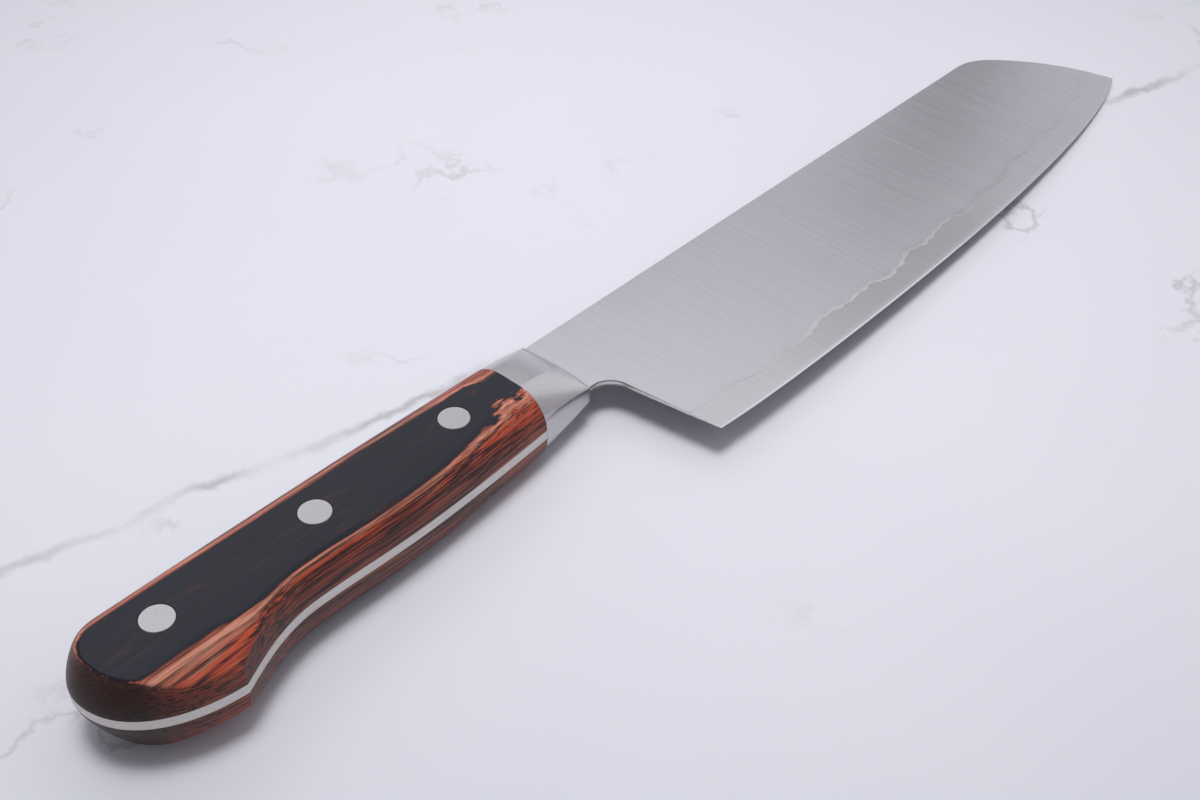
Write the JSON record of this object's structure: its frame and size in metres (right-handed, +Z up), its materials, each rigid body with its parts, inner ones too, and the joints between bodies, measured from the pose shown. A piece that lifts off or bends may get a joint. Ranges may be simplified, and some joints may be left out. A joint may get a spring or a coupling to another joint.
{
  "type": "kitchen knife",
  "caption": "Kitchen knife with a tall laminated steel blade, angled nose, steel bolster and riveted dyed-veneer handle, for slicing and chopping vegetables and meat.",
  "frame": {"origin": "on the surface under the knife as it lies on its right side, at the middle of its length and of its height from edge to spine", "axes": "+X along the blade towards the tip, +Y from the cutting edge towards the spine, +Z up, square to the left side of the blade"},
  "size_m": [0.2942, 0.0468, 0.0166],
  "materials": {
    "core_steel": "hard cutting steel, satin ground and stoned at the edge",
    "cladding_steel": "stainless cladding with a fine satin grind from spine to edge",
    "tang_steel": "stainless plate, linished flush with the scales",
    "bolster_steel": "stainless, polished over a fine linish",
    "rivet_steel": "stainless heads, sanded flush and lightly scratched",
    "dyed_veneer": "dyed wood veneers pressed with resin, charcoal over red-brown, satin polish"
  },
  "bodies": {
    "root": {"blade_core": "core_steel", "cladding_left": "cladding_steel", "cladding_right": "cladding_steel", "tang": "tang_steel", "bolster_left": "bolster_steel", "bolster_right": "bolster_steel", "scale_left": "dyed_veneer", "scale_right": "dyed_veneer", "rivet_front_pin": "rivet_steel", "rivet_front_socket": "rivet_steel", "rivet_middle_pin": "rivet_steel", "rivet_middle_socket": "rivet_steel", "rivet_rear_pin": "rivet_steel", "rivet_rear_socket": "rivet_steel"}
  },
  "joints": []
}
